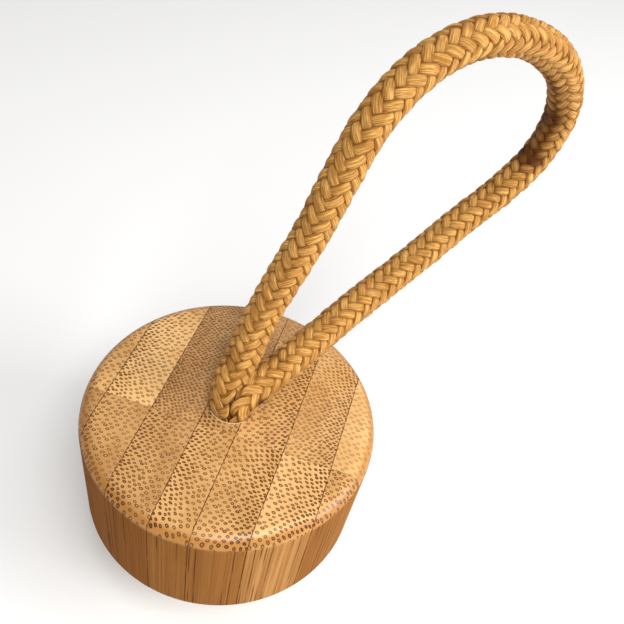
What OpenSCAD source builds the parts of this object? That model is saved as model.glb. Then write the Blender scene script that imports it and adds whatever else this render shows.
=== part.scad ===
// Round bamboo body brush with a braided cord loop. The bristle tips stand on z = 0 and
// the axis of the block is the Z axis.

/* [Block] */
// Diameter of the bamboo block
block_d = 45; // [42:0.5:60]
// Height of the bamboo block
block_h = 20; // [19:0.5:26]
// Radius of the rounded top edge
edge_r = 2.4; // [1:0.2:3.6]
// Angle of the laminated strips about the vertical axis
strip_turn = -6.84; // [-90:0.01:90]

/* [Cord] */
// Diameter of the braided cord
cord_d = 5.4; // [4:0.1:6]
// Diameter of the hole that the cord loop passes through
hole_d = 6.9; // [6.5:0.1:7.5]
// Outer diameter of the knot inside the block
knot_d = 19.4; // [17:0.2:19.6]

/* [Bristles] */
// Length of the bristles below the block
bristle_l = 12; // [8:0.5:14]
// Diameter of a bristle tuft at its root
tuft_d = 3.1; // [2.4:0.1:3.4]
// Diameter of a bristle tuft at its tip
tuft_tip_d = 4.1; // [3.2:0.1:4.2]
// Thickness of the disc that holds the tufts
plate_t = 6; // [5.5:0.5:7]
// Diameter of the disc that holds the tufts
plate_d = 36; // [35:0.5:38]

/* [Hidden] */
STRIPS_FRONT = [for (i = [1:7]) str("strip_front_", i)];
STRIPS_MIDDLE = [for (i = [1:7]) str("strip_middle_", i)];
STRIPS_BACK = [for (i = [1:5]) str("strip_back_", i)];
$fn = 64;
tiny = 0.05;               // glue gap, and running clearance of the cord in its hole
far = 2 * block_d;         // past every outer face
base_z = bristle_l;        // underside of the block
top_z = base_z + block_h;  // top face of the block
skin_t = 4;                // bamboo left above the knot chamber
chamber_r = 10.2;          // radius of the knot chamber
plate_top = base_z + plate_t;
chamber_top = top_z - skin_t;

// Glue lines between the strips, across them and along them, from the axis of the block
glue_u = [-far, -18.2, -10.9, -3.5, 2.35, 9.8, 17.15, far];
glue_v = [-far, -5.2, 15.4, far];

// Colours of the strips, one list for each row, from left to right
tone = ["#dcae74", "#d2a066", "#c8935a", "#b98049"];
tones = [[2, 2, 1, 0, 1, 0, 2], [0, 0, 3, 1, 0, 2, 0], [1, 2, 0, 1, 1]];

// Tuft rings: number of tufts, radius at the disc and outward lean in degrees
ring_centre = [1, 0, 0];
ring_inner = [6, 4.9, 2];
ring_middle = [12, 9.6, 4];
ring_outer = [18, 14.2, 6];
hole_depth = 4.8;          // depth of a tuft hole in the disc
staple = [3.9, 0.5, 1.6];  // flat wire anchor that holds a tuft in its hole
staple_z = base_z + hole_depth - staple.z - 0.3;

// Neck of the cord, a bulge of the two strands above the hole
fold_h = 4;                // height of the folding axis above the top face
bulge_r = 4.5;             // radius of the bulge round the folding axis
neck_r = hole_d / 2 - tiny;

// Route of the loop from the neck and back to it, from the centre of the top face
loop_route = [
    [0.5, 3.2, 8.5], [1.6, 5, 14], [3.9, 7.3, 21.4], [6.4, 9.4, 28.8], [8.4, 11.4, 36.2],
    [10.8, 14.2, 43.4], [14.8, 18.4, 48.9], [20.2, 23.7, 51.6], [26.1, 29, 51.5],
    [31.9, 34, 49], [36.9, 38.2, 44.4], [39.7, 40.9, 37.4], [38.8, 40.6, 29.8],
    [34.7, 37.2, 24], [29.6, 32.8, 19.6], [24.7, 27.9, 15.5], [19.7, 22.6, 12],
    [14.8, 16.9, 9.2], [10.1, 11, 6.5], [6.4, 6.2, 4.4], [4.2, 3.6, 3.5]
];
loop_normal = [0.707, -0.707, 0];  // square to the upright plane that the loop lies near
sides = 10;                // sides of the swept tube
steps = 2;                 // rings between two points of the route

function unit(v) = v / norm(v);

// Catmull-Rom curve through a list of points, at parameter t counted in points
function spline_point(p, t) =
    let (
        i = min(floor(t), len(p) - 2),
        s = t - i,
        b = p[i],
        c = p[i + 1],
        a = i == 0 ? 2 * b - c : p[i - 1],
        d = i == len(p) - 2 ? 2 * c - b : p[i + 2]
    )
    (2 * b + (c - a) * s + (2 * a - 5 * b + 4 * c - d) * s * s
        + (3 * b - a - 3 * c + d) * s * s * s) / 2;

// Whole block as one turned solid: rounded top edge, hole, knot chamber and disc recess
module block_solid() {
    r = block_d / 2;
    difference() {
        union() {
            translate([0, 0, base_z]) cylinder(r = r, h = block_h - edge_r);
            translate([0, 0, base_z]) cylinder(r = r - edge_r, h = block_h);
            translate([0, 0, top_z - edge_r])
                rotate_extrude() translate([r - edge_r, 0]) circle(r = edge_r);
        }
        translate([0, 0, base_z - 1]) cylinder(d = hole_d, h = block_h + 2);
        translate([0, 0, base_z - 1]) cylinder(r = chamber_r, h = chamber_top - base_z + 1);
        translate([0, 0, base_z - 1]) cylinder(d = plate_d + 2 * tiny, h = plate_t + 1);
    }
}

// One glued bamboo strip: the part of the block between its glue lines
module strip(row, column) {
    u = [glue_u[column], glue_u[column + 1]];
    v = [glue_v[row], glue_v[row + 1]];
    color(tone[tones[row][row == 2 ? column - 1 : column]])
        rotate([0, 0, strip_turn])
            intersection() {
                block_solid();
                translate([u[0], v[0], 0]) cube([u[1] - u[0], v[1] - v[0], far]);
            }
}

// Places its children round a ring of tufts, with +X pointing outwards
module around(ring) {
    for (i = [0:ring[0] - 1]) rotate([0, 0, 360 * (i + 0.5) / ring[0]])
        translate([ring[1], 0, 0]) children();
}

// Disc that holds the tufts, glued into the underside of the block
module bristle_plate() {
    color("#cfa873")
        difference() {
            translate([0, 0, base_z]) cylinder(d = plate_d, h = plate_t);
            for (ring = [ring_centre, ring_inner, ring_middle, ring_outer])
                around(ring)
                    translate([0, 0, base_z - 1]) cylinder(d = tuft_d + 2 * tiny, h = hole_depth + 1);
        }
}

// Tufts of one ring: a straight root in its hole and a spreading brush trimmed flat at z = 0
module tufts(ring) {
    color("#e3cf9f")
        around(ring)
            intersection() {
                union() {
                    translate([0, 0, base_z - 0.5]) cylinder(d = tuft_d, h = hole_depth + 0.5 - tiny);
                    translate([0, 0, base_z]) rotate([0, -ring[2], 0]) translate([0, 0, -1.4 * bristle_l])
                        cylinder(d1 = tuft_tip_d + 0.4 * (tuft_tip_d - tuft_d), d2 = tuft_d, h = 1.4 * bristle_l);
                }
                translate([-far / 2, -far / 2, 0]) cube(far);
            }
}

// Flat wire anchors driven across the tuft roots of one ring
module staples(ring) {
    color("silver")
        around(ring)
            translate([-staple.y / 2, -staple.x / 2, staple_z]) cube([staple.y, staple.x, staple.z]);
}

// Both strands of the cord where they are squeezed in the hole and swell above it
module cord_neck() {
    color("#c08a42") {
        translate([0, 0, chamber_top]) cylinder(r = neck_r, h = skin_t + 1.5);
        translate([0, 0, top_z + fold_h]) sphere(r = bulge_r);
    }
}

// Overhand knot of both strands in the chamber: two turns round a core, and two short tails
module cord_knot() {
    turn_r = cord_d / 2 - 0.1;
    ring_r = knot_d / 2 - turn_r;
    mid_z = (plate_top + chamber_top) / 2;
    color("#b07c3a") {
        translate([0, 0, mid_z - turn_r]) cylinder(r = ring_r, h = chamber_top - mid_z + turn_r);
        for (side = [-1, 1])
            translate([0, 0, mid_z + side * 1.7])
                rotate_extrude() translate([ring_r, 0]) circle(r = turn_r);
        for (side = [-1, 1])
            translate([side * 3.4, 0, plate_top + 0.4]) cylinder(r = turn_r, h = 3);
    }
}

// Free stretch of the cord: one round tube swept along the route
module cord_loop() {
    count = (len(loop_route) - 1) * steps;
    centres = [for (i = [0:count]) spline_point(loop_route, i / steps)];
    rings = [for (i = [0:count])
        let (
            along = unit(centres[min(i + 1, count)] - centres[max(i - 1, 0)]),
            side = unit(loop_normal - (loop_normal * along) * along),
            up = cross(along, side)
        )
        for (k = [0:sides - 1])
            centres[i] + cord_d / 2 * (cos(360 * k / sides) * side + sin(360 * k / sides) * up)];
    walls = [for (i = [0:count - 1], k = [0:sides - 1])
        let (a = i * sides + k, b = i * sides + (k + 1) % sides)
        each [[a, a + sides, b], [b, a + sides, b + sides]]];
    ends = [[for (k = [0:sides - 1]) k], [for (k = [sides - 1:-1:0]) count * sides + k]];
    color("#c9923f") translate([0, 0, top_z]) polyhedron(points = rings, faces = concat(walls, ends));
}

for (i = [0:6]) strip(0, i);
for (i = [0:6]) strip(1, i);
for (i = [0:4]) strip(2, i + 1);
bristle_plate();
tufts(ring_centre);  // tuft_centre
tufts(ring_inner);  // tufts_inner
tufts(ring_middle);  // tufts_middle
tufts(ring_outer);  // tufts_outer
staples(ring_centre);  // staple_centre
staples(ring_inner);  // staples_inner
staples(ring_middle);  // staples_middle
staples(ring_outer);  // staples_outer
cord_neck();
cord_knot();
cord_loop();
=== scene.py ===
import math

import bpy
import numpy as np
from mathutils import Matrix, Vector


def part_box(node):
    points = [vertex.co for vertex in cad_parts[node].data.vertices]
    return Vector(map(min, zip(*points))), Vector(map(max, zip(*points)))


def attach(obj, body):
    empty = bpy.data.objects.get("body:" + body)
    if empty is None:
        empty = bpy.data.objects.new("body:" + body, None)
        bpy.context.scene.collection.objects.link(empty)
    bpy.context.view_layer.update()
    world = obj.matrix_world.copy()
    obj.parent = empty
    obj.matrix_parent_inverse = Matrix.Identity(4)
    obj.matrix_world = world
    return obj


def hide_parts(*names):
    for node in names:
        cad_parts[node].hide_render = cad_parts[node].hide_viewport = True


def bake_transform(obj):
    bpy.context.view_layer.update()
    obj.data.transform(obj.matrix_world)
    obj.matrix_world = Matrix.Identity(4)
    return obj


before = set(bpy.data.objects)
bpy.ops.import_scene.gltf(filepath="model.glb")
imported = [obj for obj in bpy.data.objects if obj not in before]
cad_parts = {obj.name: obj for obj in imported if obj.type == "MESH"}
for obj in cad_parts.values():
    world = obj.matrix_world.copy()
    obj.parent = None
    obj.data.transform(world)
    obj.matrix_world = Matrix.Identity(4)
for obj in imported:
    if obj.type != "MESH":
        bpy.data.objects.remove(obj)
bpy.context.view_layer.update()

mm = 0.001
seed = 7
brightness = 1.22                         # light on a level surface, 1 shows a colour as it is
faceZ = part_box("strip_middle_5")[1][2]    # top face of the block
print("frame loaded, top face at", round(faceZ / mm, 2), "mm")


# Length-one copies of the rows of a list of vectors
def unit(rows):
    rows = np.asarray(rows, float)
    return rows / np.maximum(np.linalg.norm(rows, axis=-1, keepdims=True), 1e-12)


# Smooth ramp from 0 at low to 1 at high: 3t^2 - 2t^3
def ease(x, low, high):
    t = np.clip((x - low) / (high - low), 0, 1)
    return t * t * (3 - 2 * t)


# Catmull-Rom curve through the points, resampled so that its points are `step` apart. Returns the points and
# their distances along the curve
def smoothRoute(points, step, perSpan=40):
    p = np.asarray(points, float)
    p = np.vstack([2 * p[0] - p[1], p, 2 * p[-1] - p[-2]])
    t = np.linspace(0, 1, perSpan, endpoint=False)[:, None]
    a, b, c, d = p[:-3, None], p[1:-2, None], p[2:-1, None], p[3:, None]
    square = 2 * a - 5 * b + 4 * c - d
    cube = 3 * b - a - 3 * c + d
    dense = (2 * b + (c - a) * t + square * t ** 2 + cube * t ** 3) / 2
    dense = np.vstack([dense.reshape(-1, 3), p[-2:-1]])
    run = np.concatenate([[0], np.cumsum(np.linalg.norm(np.diff(dense, axis=0), axis=1))])
    at = np.linspace(0, run[-1], int(round(run[-1] / step)) + 1)
    return np.stack([np.interp(at, run, dense[:, k]) for k in range(3)], axis=1), at


# Direction of a line of points, from central differences
def alongLine(centres):
    return unit(np.gradient(centres, axis=0))


# Directions square to the line: `side` keeps as near as it can to a fixed normal, `up` completes the set
def crossAxes(along, normal):
    normal = np.asarray(normal, float)
    side = unit(normal - (along @ normal)[:, None] * along)
    return side, np.cross(along, side)


# Faces of a grid of rows by columns, wrapped across the columns, with a flat cap at both ends, once for each
# of the point numbers that a tube starts at
def tubeFaces(rows, columns, starts=0):
    starts = np.reshape(starts, (-1, 1, 1))
    r, c = np.meshgrid(np.arange(rows - 1), np.arange(columns), indexing="ij")
    a = r * columns + c
    b = r * columns + (c + 1) % columns
    walls = np.stack([a, b, b + columns, a + columns], axis=-1).reshape(-1, 4)
    caps = np.stack([np.arange(columns)[::-1], (rows - 1) * columns + np.arange(columns)])
    return (starts + walls).reshape(-1, 4).tolist() + (starts + caps).reshape(-1, columns).tolist()


# A mesh object from points and faces, smooth, with point attributes by name
def makePiece(name, points, faces, attributes=None, material=None):
    mesh = bpy.data.meshes.new(name)
    mesh.from_pydata(np.asarray(points, float).tolist(), [], faces)
    for key, values in (attributes or {}).items():
        layer = mesh.attributes.new(key, "FLOAT", "POINT")
        layer.data.foreach_set("value", np.asarray(values, np.float32).ravel())
    mesh.polygons.foreach_set("use_smooth", np.ones(len(mesh.polygons), bool))
    mesh.update()
    piece = bpy.data.objects.new(name, mesh)
    bpy.context.collection.objects.link(piece)
    if material:
        mesh.materials.append(material)
    return piece


# One socket of a material's node tree. Arithmetic on it adds Math nodes, and make() adds any other node
class Wire:
    def __init__(self, tree, socket=None):
        self.tree = tree
        self.socket = socket

    def make(self, kind, settings=None, sockets=None, out=0):
        node = self.tree.nodes.new("ShaderNode" + kind)
        for key, value in (settings or {}).items():
            setattr(node, key, value)
        for key, value in (sockets or {}).items():
            if isinstance(value, Wire):
                self.tree.links.new(value.socket, node.inputs[key])
            else:
                node.inputs[key].default_value = value
        return Wire(self.tree, node.outputs[out] if len(node.outputs) else None)

    def math(self, operation, *values):
        return self.make("Math", {"operation": operation}, dict(enumerate(values)))

    def __add__(self, other):
        return self.math("ADD", self, other)

    __radd__ = __add__

    def __sub__(self, other):
        return self.math("SUBTRACT", self, other)

    def __rsub__(self, other):
        return self.math("SUBTRACT", other, self)

    def __mul__(self, other):
        return self.math("MULTIPLY", self, other)

    __rmul__ = __mul__

    def __truediv__(self, other):
        return self.math("DIVIDE", self, other)

    def __abs__(self):
        return self.math("ABSOLUTE", self)

    # 1 where this is at or over `high`, 0 at or under `low`, smooth between
    def ramp(self, low, high):
        return self.make("MapRange", {"interpolation_type": "SMOOTHSTEP"},
                         {"Value": self, "From Min": low, "From Max": high})


# A colour given as the 0-255 values that it shows under the studio light, as linear numbers with alpha
def paint(red, green, blue):
    return tuple(((v / 255 + 0.055) / 1.055) ** 2.4 / brightness for v in (red, green, blue)) + (1,)


# Mix of two colours, or of a colour and a wire, by a factor
def blendColour(tree, factor, first, second):
    return tree.make("Mix", {"data_type": "RGBA"}, {"Factor": factor, 6: first, 7: second}, out=2)


# A new material and the empty tree of its nodes
def newMaterial(name):
    material = bpy.data.materials.new(name)
    material.use_nodes = True
    material.node_tree.nodes.clear()
    return material, Wire(material.node_tree)


# The surface shader that closes a material. `bump` is a height with its strength and its depth, and `others`
# are further sockets of the shader
def finishMaterial(tree, colour, roughness, bump=None, others=None):
    sockets = {"Base Color": colour, "Roughness": roughness}
    if bump:
        sockets["Normal"] = tree.make("Bump", None, dict(zip(("Height", "Strength", "Distance"), bump)))
    sockets.update(others or {})
    shader = tree.make("BsdfPrincipled", None, sockets)
    tree.make("OutputMaterial", None, {"Surface": shader})


# Object coordinates of the surface in millimetres, turned about Z by an angle
def placeOf(tree, turn=0.0):
    sockets = {"Vector": tree.make("TexCoord", out=3), "Rotation": (0, 0, -turn), "Scale": (1 / mm,) * 3}
    return tree.make("Mapping", None, sockets)


def splitVector(tree, vector):
    return [tree.make("SeparateXYZ", None, {"Vector": vector}, out=k) for k in range(3)]


def joinVector(tree, x, y, z):
    return tree.make("CombineXYZ", None, {"X": x, "Y": y, "Z": z})


# A number that a mesh holds at each point
def attribute(tree, name):
    return tree.make("Attribute", {"attribute_name": name}, out=2)


def noise(tree, vector, scale, detail=2.0, rough=0.5):
    sockets = {"Vector": vector, "Scale": scale, "Detail": detail, "Roughness": rough}
    return tree.make("TexNoise", None, sockets)


camera = {
    "place": (8.64 * mm, -60.40 * mm, faceZ + 83.08 * mm),
    "right": (0.9747, 0.1575, 0.1588),
    "up": (-0.2236, 0.6864, 0.6920),
    "back": (0.0, -0.7100, 0.7043),
    "lens": 38.33,
}

lensData = bpy.data.cameras.new("camera")
lensData.lens = camera["lens"]
lensData.sensor_width = 36
lensData.clip_start = 0.005
viewer = bpy.data.objects.new("camera", lensData)
bpy.context.collection.objects.link(viewer)
axes = Matrix((camera["right"], camera["up"], camera["back"])).transposed()
viewer.matrix_world = Matrix.Translation(camera["place"]) @ axes.normalized().to_4x4()
bpy.context.scene.camera = viewer
print("camera set")


knotLow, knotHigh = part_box("cord_knot")    # the knot fills its chamber up to the roof
cord = {
    "diameter": 5.4 * mm,
    "normal": (0.7071, -0.7071, 0),       # square to the upright plane that the loop lies near
    # the left strand out of the hole, in mm from the centre of the top face
    "start": [(-1.66, 0.0, -1), (-1.63, 0.0, 0.3), (-1.40, 0.6, 2.4), (-0.7, 1.8, 5.2)],
    # the free loop: the CAD tube's route, a fitted curve and not points chosen by hand, with its first two
    # points 0.2 and 0.1 mm further left
    "route": [
        (0.3, 3.2, 8.5), (1.5, 5, 14), (3.9, 7.3, 21.4), (6.4, 9.4, 28.8), (8.4, 11.4, 36.2),
        (10.8, 14.2, 43.4), (14.8, 18.4, 48.9), (20.2, 23.7, 51.6), (26.1, 29, 51.5),
        (31.9, 34, 49), (36.9, 38.2, 44.4), (39.7, 40.9, 37.4), (38.8, 40.6, 29.8),
        (34.7, 37.2, 24), (29.6, 32.8, 19.6), (24.7, 27.9, 15.5), (19.7, 22.6, 12),
        (14.8, 16.9, 9.2), (10.1, 11, 6.5), (6.4, 6.2, 4.4), (4.2, 3.6, 3.5),
    ],
    # the right strand back into the hole
    "finish": [(2.35, 1.4, 2.2), (1.70, 0.1, 0.5), (1.66, 0.0, -1)],
    "step": 0.34 * mm,                    # length of one row of the mesh
    "perHand": 8,                         # yarns that wind each way
    "lay": 15.0 * mm,                     # length of one turn of a yarn
    "phase": math.radians(45),            # where round the cord the first column of stitches lies
    "rise": (1.86 * mm, 0.40 * mm),       # middle radius of a yarn's path, and how far it weaves in and out
    "flat": 1.7,                          # how flat the top of the weave is
    "yarn": (0.80 * mm, 0.47 * mm),       # half width and half thickness of a yarn
    "around": 10,                         # corners of a yarn's section
    "square": 0.75,                       # 1 makes that section an ellipse, less makes it squarer
    "uneven": (0.05 * mm, 2.3 * mm),      # how far a crest wanders in and out, and over what length
    "sunk": 0.04 * mm,                    # how much the whole path is drawn in for it
    "creaseShade": 0.7,                        # how dark the painted shade is where two strands press together
    "core": 1.90 * mm,                    # radius of the filling under the yarns
    "coreCorners": 14,
    "tight": (1.3 * mm, 6.4 * mm),        # from a strand's end to where it starts and ends to round out
    "mouth": (-0.15 * mm, 0.9 * mm),      # heights from the face where the half disc starts and ends to swell
    "bendFrom": (0.28, 0.28, 0.7),        # a stretch of the loop, from this point to the next one, in mm from the face
    "bendTo": (3.46, 3.46, 8.5),
    "holeRadius": (3.42 * mm, 3.95 * mm),  # of the half disc that a strand fills in the hole and above it
    "fill": 1.15,                         # how far the yarns are squeezed into the hole
    "wall": 3.40 * mm,                    # no yarn lies outside this radius in the hole
    "lip": 0.3 * mm,                      # height above the face where that radius starts to open
    "flare": 8.0,                         # how fast it opens
    "apart": 1.74 * mm,                   # from the hole's centre to the middle of a strand
}


# Offsets from the line of a strand that shares a round hole with its twin: each strand fills half of a disc,
# so across the pair an offset is halved and pushed outward by half the chord at its height. The disc is
# swollen by `fill` and its outside is pressed back to the radius in `size`, r / (1 + (r / size)^12)^(1/12)
def halfDisc(offsets, along, look, share, size, outer):
    press = unit(outer - np.sum(outer * along, axis=1, keepdims=True) * along)
    third = np.cross(along, press)
    a = np.einsum("rkc,rc->rk", offsets, press)
    b = np.einsum("rkc,rc->rk", offsets, third)
    full = look["diameter"] / 2
    grow = (look["fill"] * size / full)[:, None]
    chord = np.sqrt(np.maximum(full ** 2 - b ** 2, 0))
    discA = 0.5 * grow * (a + chord)
    discB = grow * b
    pressed = (1 + (np.hypot(discA, discB) / size[:, None]) ** 12) ** (-1 / 12)
    moveA = share[:, None] * (discA * pressed - look["apart"] - a)
    moveB = share[:, None] * (discB * pressed - b)
    return offsets + moveA[..., None] * press[:, None] + moveB[..., None] * third[:, None]


# Points pressed inside the wall of the hole: between the chamber and the lip of the hole their distance from
# its axis is at most `wall`, and above the lip it may grow by `flare` for each mm of height
def pressInHole(points, look):
    height = points[..., 2]
    radius = np.hypot(points[..., 0], points[..., 1])
    room = look["wall"] + look["flare"] * np.maximum(height - faceZ - look["lip"], 0)
    room = np.where(height < knotHigh[2], radius, room)
    points[..., :2] *= np.minimum(1, room / np.maximum(radius, 1e-9))[..., None]
    return points


# Braid over a line: yarn k turns steadily about the line one way or the other, and its distance from it
# follows a flattened cosine of its angle, so each yarn passes over two others and then under two. Each point
# also carries a height for painted shade: how far out it lies, less on the inside of a bend and where two
# strands press together. The yarn material paints it dark where low and light where high
def braid(name, look, line, at, share, size, outer, material):
    along = alongLine(line)
    side, up = crossAxes(along, look["normal"])
    bend = np.gradient(along, at, axis=0)
    phi = np.linspace(0, 2 * math.pi, look["around"], endpoint=False)
    bulge = np.sign(np.sin(phi)) * np.abs(np.sin(phi)) ** look["square"]
    rng = np.random.default_rng(seed)
    points, faces, attributes = [], [], {"across": [], "along": [], "heightShade": [], "yarnTone": []}

    def addRings(offsets, across, run, heightShade, tone):
        start = sum(len(p) for p in points)
        shaped = pressInHole(line[:, None] + halfDisc(offsets, along, look, share, size, outer), look)
        # Painted shade: the inside of a bend and the faces where the two strands press together get a lower
        # height, so they are painted darker
        inside = np.clip(np.einsum("rkc,rc->rk", offsets, bend), 0, 0.4)
        between = np.clip(-np.einsum("rkc,rc->rk", offsets, outer) / look["diameter"], 0, 1)
        heightShade = heightShade - inside - look["creaseShade"] * between * share[:, None]
        points.append(shaped.reshape(-1, 3))
        faces.extend(tubeFaces(offsets.shape[0], offsets.shape[1], start))
        for store, value in zip(attributes.values(), (across, run, heightShade, tone)):
            store.append(np.broadcast_to(value, offsets.shape[:2]).ravel())

    for hand in (1, -1):
        for k in range(look["perHand"]):
            angle = 2 * math.pi * (k / look["perHand"] + hand * at / look["lay"])
            wave = np.cos(4 * angle - (math.pi / 4 if hand > 0 else 5 * math.pi / 4))
            weave = np.tanh(look["flat"] * wave) / math.tanh(look["flat"])
            wander, length = look["uneven"]
            uneven = wander * np.sin(at / length + rng.uniform(0, 6.3)) * (1 + weave) / 2
            radius = look["rise"][0] + look["rise"][1] * weave + uneven - look["sunk"]
            angle = angle + look["phase"]
            outward = np.cos(angle)[:, None] * side + np.sin(angle)[:, None] * up
            path = radius[:, None] * outward
            run = alongLine(line + path)
            wide = unit(np.cross(run, outward))
            thick = np.cross(wide, run)
            halfWide = look["yarn"][0] * (0.94 + 0.06 * weave)
            wideways = halfWide[:, None] * np.cos(phi)
            rings = path[:, None] + wideways[..., None] * wide[:, None]
            rings = rings + (look["yarn"][1] * bulge)[None, :, None] * thick[:, None]
            yarnAt = np.concatenate([[0], np.cumsum(np.linalg.norm(np.diff(line + path, axis=0), axis=1))])
            rise = np.einsum("rkc,rc->rk", rings, outward) / (look["diameter"] / 2)
            addRings(rings, wideways / mm, yarnAt[:, None] / mm + 40 * k, rise, rng.uniform(0, 1))
    psi = np.linspace(0, 2 * math.pi, look["coreCorners"], endpoint=False)[None, :, None]
    core = look["core"] * (np.cos(psi) * side[:, None] + np.sin(psi) * up[:, None])
    # The filling gets a low height, so the yarn material paints it in the dark painted shade colour, as shade
    # between the yarns
    addRings(core, 0.0, at[:, None] / mm, 0.45, 0.5)
    values = {key: np.concatenate(store) for key, store in attributes.items()}
    return makePiece(name, np.vstack(points), faces, values, material)


# Yarn colours: body is the yarn's own colour. The crest colour is a painted highlight on the high filaments,
# deep is painted shade for low, bent-in and pressed parts and the filling, and the groove colour is both
# painted shade at the yarn edges and random darker blotches
cordFinish = {
    "crest": paint(252, 200, 122),
    "body": paint(187, 127, 46),
    "grooveShadeAndBlotch": paint(132, 78, 16),
    "deep": paint(76, 34, 2),
    "rough": 0.62,
}


# Golden yarn: fine filaments run along each yarn, with painted shade on the parts that dive between yarns, at
# the yarn edges, on the inside of bends and where strands press together, and a painted highlight on the
# filaments at the crests
def makeCordMaterial(name, look):
    material, tree = newMaterial(name)
    across, along, heightShade, tone = [attribute(tree, key) for key in ("across", "along", "heightShade", "yarnTone")]
    filament = noise(tree, joinVector(tree, across * 8, along * 0.50, tone * 50), 1.0, 2.0, 0.6)
    fine = noise(tree, joinVector(tree, across * 20, along * 1.1, tone * 90), 1.0, 1.0, 0.5)
    patch = noise(tree, joinVector(tree, across, along * 0.5, tone * 30), 0.8, 1.0)
    strand = (filament * 0.6 + fine * 0.4).ramp(0.42, 0.62)
    # Painted shade and highlight: low parts of the weave take the deep colour, and the crests the light one
    high = heightShade.ramp(0.70, 0.94)
    edge = abs(across).ramp(0.38, 0.66)
    colour = blendColour(tree, high, look["deep"], look["body"])
    # Painted shade at the edges of each yarn, where it dips against the next
    colour = blendColour(tree, 0.8 * edge * (1 - 0.5 * strand), colour, look["grooveShadeAndBlotch"])
    # Painted highlight on the filaments along the crests
    colour = blendColour(tree, 0.85 * strand * high * (1 - 0.5 * edge), colour, look["crest"])
    # Random darker blotches, the yarn's own uneven tone
    colour = blendColour(tree, 0.35 * (1 - patch.ramp(0.35, 0.62)), colour, look["grooveShadeAndBlotch"])
    finishMaterial(tree, colour, look["rough"], (filament * 0.6 + fine * 0.4, 0.8, 0.16 * mm),
                   {"Sheen Weight": 0.04, "Sheen Roughness": 0.4, "Specular IOR Level": 0.14})
    return material


cordMaterial = makeCordMaterial("goldenYarn", cordFinish)


# A point given in mm from the centre of the top face
def fromFace(x, y, z):
    return x * mm, y * mm, faceZ + z * mm


loopPoints = [fromFace(*point) for point in cord["start"] + cord["route"] + cord["finish"]]
loopLine, loopAt = smoothRoute(loopPoints, cord["step"])
loopLength = loopAt[-1]
fromEnd = np.minimum(loopAt, loopLength - loopAt)
inHole = 1 - ease(fromEnd, *cord["tight"])
outerSide = np.where((loopAt < loopLength / 2)[:, None], (-1.0, 0.0, 0.0), (1.0, 0.0, 0.0))
swell = ease(loopLine[:, 2] - faceZ, *cord["mouth"])
discSize = cord["holeRadius"][0] * (1 - swell) + cord["holeRadius"][1] * swell
cordLoop = braid("cord_loop_braid", cord, loopLine, loopAt, inHole, discSize, outerSide, cordMaterial)
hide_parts("cord_loop")
fromFace(*cord["bendFrom"])
fromFace(*cord["bendTo"])
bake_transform(cordLoop)
print("cord loop:", round(loopLength / mm, 1), "mm,", len(cordLoop.data.polygons), "faces")


knot = dict(cord)
knot.update({
    "normal": (0.0, 0.0, 1.0),
    "step": 0.55 * mm,
    "around": 6,
    "rise": (1.50 * mm, 0.32 * mm),
    "yarn": (0.60 * mm, 0.40 * mm),
    "core": 1.42 * mm,
    "diameter": 4.4 * mm,
    "coil": 7.1 * mm,                     # radius of the turns
    "tail": 3.9 * mm,                     # how far the last stretch of a turn comes in from that
    "beside": 1.72 * mm,                  # from the hole's axis to the middle of a strand in it
    "inset": 2.3 * mm,                    # from the roof and floor of the chamber to the middle of a strand
    "above": (-0.9, -2.4, -3.8),          # heights of its points in the hole, in mm from the top face
})


# Each strand comes down the hole, swings out to the coil radius, winds down round the chamber as one start of
# a two-start helix, and turns in again to a short tail
def knotStrand(look, phase):
    top, low = knotHigh[2] - look["inset"], knotLow[2] + look["inset"]
    t = np.linspace(0, 1, 15)
    angle = phase + 2 * math.pi * t
    radius = look["beside"] + (look["coil"] - look["beside"]) * ease(t, 0, 0.28)
    radius = radius - look["tail"] * ease(t, 0.86, 1.0)
    height = top - (top - low) * t
    coil = np.stack([radius * np.cos(angle), radius * np.sin(angle), height], axis=1)
    x, y = look["beside"] * math.cos(phase), look["beside"] * math.sin(phase)
    above = np.array([[x, y, faceZ + z * mm] for z in look["above"]])
    return np.vstack([above, coil[1:]])


# Braid for both strands of the knot, joined as one piece
def makeKnot():
    made = []
    for hand, phase in enumerate((math.pi, 0.0)):
        line, at = smoothRoute(knotStrand(knot, phase), knot["step"])
        narrow = ease(line[:, 2], knotHigh[2] - 1.6 * mm, knotHigh[2] - 0.2 * mm)
        outer = np.tile(np.array([math.cos(phase), 0.0, 0.0]), (len(line), 1))
        size = np.full(len(line), cord["holeRadius"][0])
        made.append(braid(f"knot_strand_{hand}", knot, line, at, narrow, size, outer, cordMaterial))
    with bpy.context.temp_override(active_object=made[0], selected_editable_objects=made):
        bpy.ops.object.join()
    made[0].name = made[0].data.name = "cord_knot_braid"
    return made[0]


cordKnot = makeKnot()
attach(cordKnot, "cord_anchor")
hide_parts("cord_knot", "cord_neck")
print("knot:", len(cordKnot.data.polygons), "faces")


bamboo = {
    "turn": math.radians(-6.84),          # angle of the strips about the vertical axis
    "radius": 22.5,                       # of the block, in mm
    "pale": (paint(244, 195, 130), paint(232, 180, 114)),
    "honey": (paint(230, 178, 113), paint(213, 160, 96)),
    "tan": (paint(214, 163, 102), paint(196, 144, 86)),
    "brown": (paint(216, 165, 105), paint(194, 143, 86)),
    "ring": paint(86, 36, 0),
    "heart": paint(232, 178, 112),
    "glue": paint(84, 44, 12),
    # colour of the rounded shoulder: partly its own golden-brown tint, partly painted shade where it turns
    # away from the light
    "shoulderTintAndShade": paint(180, 118, 44),
    "side": {
        "pale": (paint(182, 128, 70), paint(206, 152, 92)),
        "honey": (paint(148, 96, 46), paint(170, 114, 57)),
        "tan": (paint(132, 80, 34), paint(153, 97, 44)),
        "brown": (paint(128, 78, 34), paint(148, 92, 42)),
    },
    "sideBand": paint(140, 88, 38),
    "sideLine": paint(78, 38, 8),
    # painted highlight on the front edge of the hole
    "holeGlint": paint(250, 226, 188),
}

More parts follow.
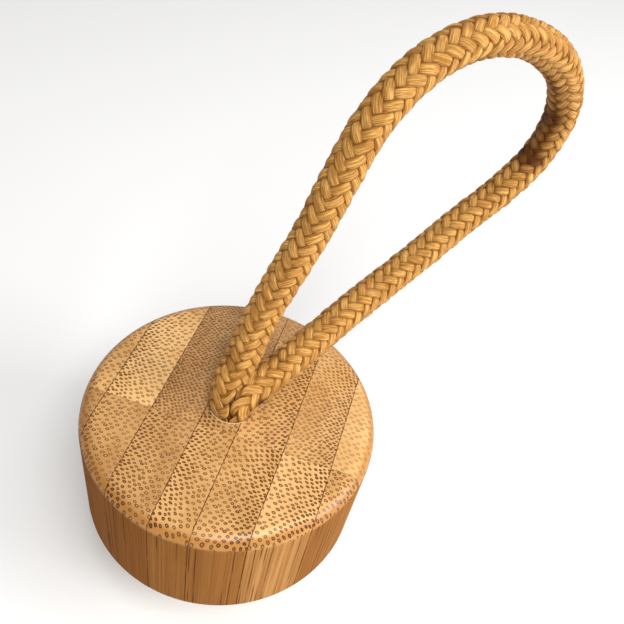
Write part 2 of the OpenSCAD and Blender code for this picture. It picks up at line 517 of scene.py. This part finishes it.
# How the fibre bundles of each strip lie: spacing in mm at its left and right edge, how dark they are there,
# and the tone of the ground between them. The values started from measured ones
strips = {
    "strip_front_1": (0.85, 0.80, 0.65, 0.75, "tan"), "strip_front_2": (0.73, 0.86, 0.90, 0.60, "tan"),
    "strip_front_3": (0.60, 0.86, 1.00, 0.65, "tan"), "strip_front_4": (0.59, 0.83, 1.00, 0.70, "honey"),
    "strip_front_5": (0.85, 0.59, 0.70, 1.00, "honey"), "strip_front_6": (0.85, 0.58, 0.75, 1.00, "pale"),
    "strip_front_7": (0.80, 0.70, 0.80, 0.85, "honey"),
    "strip_middle_1": (0.92, 0.88, 0.80, 0.70, "honey"), "strip_middle_2": (0.60, 0.86, 0.95, 0.60, "pale"),
    "strip_middle_3": (0.51, 0.62, 0.85, 0.60, "brown"), "strip_middle_4": (0.60, 0.77, 1.00, 0.70, "tan"),
    "strip_middle_5": (0.86, 0.62, 0.70, 1.00, "honey"), "strip_middle_6": (0.75, 0.56, 0.55, 0.85, "honey"),
    "strip_middle_7": (0.85, 0.88, 0.40, 0.45, "pale"),
    "strip_back_1": (0.81, 0.79, 0.55, 0.55, "honey"), "strip_back_2": (0.51, 0.58, 0.75, 0.60, "brown"),
    "strip_back_3": (0.62, 0.79, 0.70, 0.55, "tan"), "strip_back_4": (0.83, 0.66, 0.50, 0.75, "tan"),
    "strip_back_5": (0.79, 0.83, 0.50, 0.50, "honey"),
}


# Lowest and highest place of a strip across and along the glue lines, in mm
def stripSpan(node):
    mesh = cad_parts[node].data
    flat = np.empty(len(mesh.vertices) * 3)
    mesh.vertices.foreach_get("co", flat)
    flat = flat.reshape(-1, 3) / mm
    c, s = math.cos(bamboo["turn"]), math.sin(bamboo["turn"])
    u, v = flat[:, 0] * c + flat[:, 1] * s, -flat[:, 0] * s + flat[:, 1] * c
    return u.min(), u.max(), v.min(), v.max()


# The same four places where the strip is glued to another, and far away on the outside of the block
def glueSpan(node):
    u0, u1, v0, v1 = stripSpan(node)
    row, number = node.split("_")[1:]
    isLast = f"strip_{row}_{int(number) + 1}" not in strips
    beyond = 99    # mm, outside the block on any side
    return (-beyond if number == "1" else u0, beyond if isLast else u1,
            -beyond if row == "front" else v0, beyond if row == "back" else v1)


bundles = {
    "sway": (0.9, 0.7),                   # how far the lattice wanders across and along, in spacings
    "scatter": 0.38,                      # how far each bundle strays from its place in it
    "size": (0.18, 0.086),                # radius of a bundle, as a share of the spacing plus a length in mm
    "spread": (0.26, 0.87),               # and the range of chance that it is multiplied by
    "shape": (1.30, 0.84),                # its width across the strip and along it, as shares of that
}


# End grain: fibre bundles on a staggered lattice that fans out from a point beyond the dense edge of the
# strip, so its spacing grows with the distance from that point. Returns how far out in its bundle each point
# is (1 at the rim, 0 in the middle), its offset across the strip, and a random number for each bundle
def fibreBundles(tree, x, y, span, left, right, shift):
    u0, u1, v0, v1 = span
    low, high = min(left, right), max(left, right)
    far = (u1 - u0) * low / max(high - low, 0.08)
    fan = 1 if left <= right else -1
    middle = u0 - far if fan > 0 else u1 + far
    sway = noise(tree, joinVector(tree, x, y, shift), 0.35, 1.0) - 0.5
    dx, dy = (x - middle) * fan, y - (v0 + v1) / 2 + 3 * math.sin(shift)
    reach = tree.math("SQRT", dx * dx + dy * dy)
    rate = low / far
    outward = tree.math("LOGARITHM", reach, math.e) / rate + sway * bundles["sway"][0]
    around = tree.math("ARCTAN2", dy, dx) / rate + sway * bundles["sway"][1]
    half = math.sqrt(0.5)                 # the lattice stands on its corner
    grid = joinVector(tree, (outward + around) * half + shift, (around - outward) * half, 0.0)
    settings = {"voronoi_dimensions": "2D", "feature": "F1"}
    cells = {"Vector": grid, "Scale": 1.0, "Randomness": bundles["scatter"]}
    middles = tree.make("TexVoronoi", settings, cells, out="Position")
    chance = tree.make("TexVoronoi", settings, cells, out="Color")
    da, db, _ = splitVector(tree, tree.make("VectorMath", {"operation": "SUBTRACT"}, {0: grid, 1: middles}))
    pitch = reach * rate
    across = (da - db) * half * pitch
    lengthwise = (da + db) * half * pitch
    size = pitch * bundles["size"][0] + bundles["size"][1]
    size = size * (chance * bundles["spread"][0] + bundles["spread"][1])
    a, b = across / (size * bundles["shape"][0]), lengthwise / (size * bundles["shape"][1])
    return tree.math("SQRT", a * a + b * b), abs(a), chance


# Distance in mm, measured round the block, from the nearest of a set of upright lines with uneven spacing
def nearestLine(tree, arc, spacing):
    settings = {"voronoi_dimensions": "1D", "feature": "DISTANCE_TO_EDGE"}
    sockets = {"W": arc / spacing, "Scale": 1.0, "Randomness": 1.0}
    return tree.make("TexVoronoi", settings, sockets, out="Distance") * spacing


# Sides: soft bands, fine streaks, and thin dark lines that come in groups and fade along their length.
# Returns the colour and the height of the surface
def sideGrain(tree, x, y, z, tone, index):
    streak = noise(tree, joinVector(tree, x * 3.6, y * 3.6, z * 0.04 + 5 * index), 1.0, 2.0, 0.6)
    band = noise(tree, joinVector(tree, x * 0.55, y * 0.55, z * 0.02 + 9 * index), 1.0, 2.0)
    lean = noise(tree, joinVector(tree, x * 0.3, y * 0.3, z * 0.12), 1.0, 1.0)
    arc = tree.math("ARCTAN2", y, x) * bamboo["radius"] + 0.35 * lean
    group = noise(tree, joinVector(tree, x * 0.42, y * 0.42, z * 0.02), 1.0, 1.0)
    fade = noise(tree, joinVector(tree, x * 0.8, y * 0.8, z * 0.07 + 4), 1.0, 1.0)
    bold = 1 - nearestLine(tree, arc, 0.95).ramp(0.03, 0.12)
    bold = bold * fade.ramp(0.40, 0.52) * group.ramp(0.46, 0.56)
    thin = (1 - nearestLine(tree, arc + 31.7, 0.52).ramp(0.01, 0.08)) * fade.ramp(0.30, 0.50)
    lines = tree.math("MAXIMUM", bold, thin * 0.30)
    colour = blendColour(tree, streak.ramp(0.22, 0.78), *bamboo["side"][tone])
    colour = blendColour(tree, 0.45 * band.ramp(0.42, 0.68), colour, bamboo["sideBand"])
    return blendColour(tree, 0.85 * lines, colour, bamboo["sideLine"]), streak - 0.6 * lines


# Thin glue lines round a strip, stronger along the strips than across them, with rough edges
def glueLines(tree, x, y, z, node):
    left, right, front, back = glueSpan(node)
    rough = noise(tree, joinVector(tree, x * 2.2, y * 2.2, z * 0.3), 1.0, 2.0).ramp(0.35, 0.58)
    lengthwise = 1 - tree.math("MINIMUM", x - left, right - x).ramp(0.03, 0.115)
    crosswise = 1 - tree.math("MINIMUM", y - front, back - y).ramp(0.02, 0.10)
    return tree.math("MAXIMUM", lengthwise * (0.45 + 0.55 * rough), crosswise * (0.10 + 0.50 * rough))


# Painted highlight: a pale rim on the front edge of the hole, standing in for light glinting on its rounded
# edge
def holeGlint(tree, x, y, z):
    fromHole = tree.math("SQRT", x * x + y * y)
    onTop = z.ramp(faceZ / mm - 0.10, faceZ / mm - 0.05)
    return (1 - fromHole.ramp(3.52, 3.60)) * onTop * (1 - y.ramp(-2.7, -1.7))


# One strip: the lattice of bundles on the end grain, and on the sides the same fibres lengthwise, with
# painted shade on the rounded shoulder and a painted highlight on the front edge of the hole
def makeStripMaterial(node, index):
    left, right, darkLeft, darkRight, tone = strips[node]
    span = stripSpan(node)
    u0, u1 = span[:2]
    material, tree = newMaterial("endGrain_" + node)
    x, y, z = splitVector(tree, placeOf(tree, bamboo["turn"]))
    share = (x - u0) / (u1 - u0)
    fromMiddle, sideways, chance = fibreBundles(tree, x, y, span, left, right, 1.7 * index)
    loose = ((share * (right - left) + left - 0.56) / 0.26).ramp(0.0, 1.0)
    strength = (share * (darkRight - darkLeft) + darkLeft) * (chance * 0.25 + 0.92)
    filled = 1 - fromMiddle.ramp(0.84, 1.12)
    heart = (1 - fromMiddle.ramp(0.15, 0.66)) * (1 - 0.3 * sideways)
    cloud = noise(tree, joinVector(tree, x, y * 0.6, z * 0.05 + 3.7 * index), 0.25, 3.0)
    speck = noise(tree, joinVector(tree, x * 5, y * 5, z * 0.3), 1.0, 2.0)
    colour = blendColour(tree, cloud.ramp(0.36, 0.66), *bamboo[tone])
    colour = blendColour(tree, 0.22 * speck.ramp(0.40, 0.75), colour, bamboo[tone][1])
    upright = abs(splitVector(tree, tree.make("NewGeometry", out="Normal"))[2])
    # Painted shade on the rounded shoulder, found from the slope of the surface: partly the rounding's own
    # tint, partly shade where it turns from the light
    shoulderTintAndShade = upright.ramp(0.1, 0.5) * (1 - upright.ramp(0.72, 0.98))
    colour = blendColour(tree, 0.75 * shoulderTintAndShade, colour, bamboo["shoulderTintAndShade"])
    colour = blendColour(tree, filled * strength, colour, bamboo["ring"])
    colour = blendColour(tree, heart * (0.25 + 0.65 * loose) * (1 - 0.5 * shoulderTintAndShade), colour, bamboo["heart"])
    flank = 1 - upright.ramp(0.16, 0.46)
    sideColour, sideHeight = sideGrain(tree, x, y, z, tone, index)
    colour = blendColour(tree, flank, colour, sideColour)
    colour = blendColour(tree, glueLines(tree, x, y, z, node), colour, bamboo["glue"])
    # painted glint on the front edge of the hole
    colour = blendColour(tree, holeGlint(tree, x, y, z), colour, bamboo["holeGlint"])
    height = (1 - filled * strength * 0.8) * (1 - flank) + sideHeight * flank
    coat = {"Coat Weight": 0.55 * (1 - flank) + 0.06, "Coat Roughness": 0.27, "Specular IOR Level": 0.0}
    finishMaterial(tree, colour, 0.36 + 0.14 * speck, (height, 0.35, 0.05 * mm), coat)
    return material


# Gives a piece of the CAD its only material
def dress(node, material):
    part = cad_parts[node]
    part.data.materials.clear()
    part.data.materials.append(material)


for index, node in enumerate(strips):
    dress(node, makeStripMaterial(node, index))
print("bamboo strips finished")


# Turned beech: long grain with short dark flecks
def makeBeech():
    material, tree = newMaterial("beechDisc")
    x, y, z = splitVector(tree, placeOf(tree, 0.3))
    grain = noise(tree, joinVector(tree, x * 0.9, y * 0.12, z * 0.9), 1.0, 4.0, 0.6)
    fleck = noise(tree, joinVector(tree, x * 5.5, y * 0.8, z * 5), 1.0, 1.0)
    colour = blendColour(tree, grain.ramp(0.3, 0.7), paint(216, 176, 128), paint(190, 144, 96))
    colour = blendColour(tree, 0.6 * fleck.ramp(0.62, 0.74), colour, paint(142, 96, 58))
    finishMaterial(tree, colour, 0.5 + 0.1 * grain, (grain + fleck, 0.2, 0.05 * mm))
    return material


# Plated wire with fine scratches along it
def makeWire():
    material, tree = newMaterial("staplePlatedWire")
    x, y, z = splitVector(tree, placeOf(tree))
    scratch = noise(tree, joinVector(tree, x * 2, y * 2, z * 18), 1.0, 2.0)
    colour = blendColour(tree, scratch, paint(196, 194, 186), paint(150, 147, 138))
    finishMaterial(tree, colour, 0.28 + 0.2 * scratch, None, {"Metallic": 1.0})
    return material


dress("bristle_plate", makeBeech())
wire = makeWire()
for node in ("staple_centre", "staples_inner", "staples_middle", "staples_outer"):
    dress(node, wire)
print("disc and staples finished")


bristles = {
    # how many tufts a ring has, its radius, and how many degrees they lean outward
    "rings": {"tuft_centre": (1, 0.0, 0.0), "tufts_inner": (6, 4.9 * mm, 2.0),
              "tufts_middle": (12, 9.6 * mm, 4.0), "tufts_outer": (18, 14.2 * mm, 6.0)},
    "perTuft": 76,
    "rootSpread": 1.36 * mm,              # radius of a tuft where it leaves the disc, and at its tip
    "tipSpread": 1.92 * mm,
    "thickness": 0.105 * mm,
    "length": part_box("bristle_plate")[0][2],
    "rows": 6,                            # sections along a fibre, and corners of each
    "corners": 3,
    "curl": 0.42 * mm,                    # how far a fibre bows sideways
    "untidy": 0.10 * mm,                  # how unevenly the tips are trimmed
    "deep": 3.6 * mm,                     # how far the roots stand in the disc
    "goldenAngle": 2.39996,
}


# Fibres of one ring: each starts at a sunflower point of its tuft's root, ends at the same point of the wider
# trimmed tip, and bows sideways by a sine of its length. Its section is a small triangle that narrows
def makeTufts(node, look):
    count, radius, lean = look["rings"][node]
    rng = np.random.default_rng(seed + count)
    perTuft, rows, corners = look["perTuft"], look["rows"], look["corners"]
    k = np.arange(perTuft)
    spiral = k * look["goldenAngle"]
    disc = np.sqrt((k + 0.5) / perTuft)[:, None] * np.stack([np.cos(spiral), np.sin(spiral)], axis=-1)
    disc = disc[None] + rng.normal(0, 0.035, (count, perTuft, 2))
    turn = 2 * math.pi * (np.arange(count) + 0.5) / count
    outward = np.stack([np.cos(turn), np.sin(turn)], axis=-1)
    centre = radius * outward
    t = np.linspace(0, 1, rows)
    root = centre[:, None] + look["rootSpread"] * disc
    tipCentre = centre + math.tan(math.radians(lean)) * look["length"] * outward
    tip = tipCentre[:, None] + look["tipSpread"] * disc
    tip = tip + rng.normal(0, look["untidy"], tip.shape)
    high = look["length"] + look["deep"]
    low = np.abs(rng.normal(0, look["untidy"], (count, perTuft)))
    z = high + (low[..., None] - high) * t
    below = np.clip((look["length"] - z) / look["length"], 0, 1)
    bow = rng.normal(0, look["curl"], (count, perTuft, 1, 2)) * np.sin(math.pi * below)[..., None]
    flat = root[:, :, None] + (tip - root)[:, :, None] * (below ** 1.15)[..., None] + bow
    line = np.concatenate([flat, z[..., None]], axis=-1).reshape(-1, rows, 3)
    angle = rng.uniform(0, 2 * math.pi, (len(line), 1, 1)) - 2 * math.pi * np.arange(corners) / corners
    thick = look["thickness"] * rng.uniform(0.75, 1.2, (len(line), 1, 1)) * (1 - 0.25 * t)[None, :, None]
    ring = np.stack([thick * np.cos(angle), thick * np.sin(angle), np.zeros_like(thick * angle)], axis=-1)
    points = (line[:, :, None] + ring).reshape(-1, 3)
    each = rows * corners
    faces = tubeFaces(rows, corners, each * np.arange(len(line)))
    tone = np.repeat(rng.uniform(0, 1, len(line)), each)
    reach = np.broadcast_to(t[None, :, None], (len(line), rows, corners)).ravel()
    return makePiece(node.replace("tuft", "bristle"), points, faces, {"fibreTone": tone, "reach": reach})


def makeFibreMaterial():
    material, tree = newMaterial("plantFibre")
    tone = attribute(tree, "fibreTone")
    reach = attribute(tree, "reach")
    x, y, z = splitVector(tree, placeOf(tree))
    mottled = noise(tree, joinVector(tree, x * 3, y * 3, z * 1.2), 1.0, 2.0)
    colour = blendColour(tree, tone, paint(214, 178, 120), paint(244, 220, 170))
    colour = blendColour(tree, 0.5 * mottled.ramp(0.4, 0.7), colour, paint(190, 146, 90))
    colour = blendColour(tree, 0.5 * reach.ramp(0.75, 1.0), colour, paint(240, 222, 182))
    finishMaterial(tree, colour, 0.55, (mottled, 0.3, 0.03 * mm), {"Specular IOR Level": 0.4})
    return material


fibre = makeFibreMaterial()
for node in bristles["rings"]:
    tufts = makeTufts(node, bristles)
    tufts.data.materials.append(fibre)
    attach(tufts, "brush")
    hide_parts(node)
print("bristles finished")


# Plain pale floor, one square just under the bristle tips
def makeFloor(half=3.0):
    mesh = bpy.data.meshes.new("floor")
    corners = [(-half, -half, 0), (half, -half, 0), (half, half, 0), (-half, half, 0)]
    mesh.from_pydata(corners, [], [(0, 1, 2, 3)])
    floor = bpy.data.objects.new("floor", mesh)
    floor.location.z = -0.2 * mm
    bpy.context.collection.objects.link(floor)
    material, tree = newMaterial("paleFloor")
    finishMaterial(tree, (0.82, 0.82, 0.82, 1), 0.9)
    mesh.materials.append(material)


studio = {
    # name: (direction from the object, distance, width, height, power, colour)
    "key": ((0.24, -0.493, 0.836), 0.62, 0.52, 0.24, 3.3, (1.0, 0.99, 0.975)),
    "right": ((0.88, -0.10, 0.38), 0.65, 0.30, 0.30, 3.3, (1.0, 1.0, 1.0)),
    "back": ((0.15, 0.75, 0.65), 0.65, 0.40, 0.40, 0.40, (1.0, 1.0, 1.0)),
}
keyLength = Vector((0.357, 0.801, 0.350))    # the way the first side of each light runs
studioMiddle = Vector((0.01, 0.01, 0.03))    # the point that the lights look at
skyStrength = 0.42


# A rectangular light that looks at the middle of the object, its long side laid along a direction
def addLight(name, toward, distance, width, height, power, colour):
    data = bpy.data.lights.new(name, "AREA")
    data.shape = "RECTANGLE"
    data.size = width
    data.size_y = height
    data.energy = power
    data.color = colour
    lamp = bpy.data.objects.new(name, data)
    zAxis = Vector(toward).normalized()
    xAxis = (keyLength - keyLength.dot(zAxis) * zAxis).normalized()
    facing = Matrix((xAxis, zAxis.cross(xAxis), zAxis)).transposed().to_4x4()
    lamp.matrix_world = Matrix.Translation(studioMiddle + distance * zAxis) @ facing
    bpy.context.collection.objects.link(lamp)


makeFloor()
for name, setting in studio.items():
    addLight(name, *setting)
world = bpy.data.worlds.new("studio")
world.use_nodes = True
world.node_tree.nodes["Background"].inputs[0].default_value = (1.0, 0.995, 0.985, 1)
world.node_tree.nodes["Background"].inputs[1].default_value = skyStrength
bpy.context.scene.world = world
bpy.context.scene.view_settings.view_transform = "Standard"
print("floor and lights set")
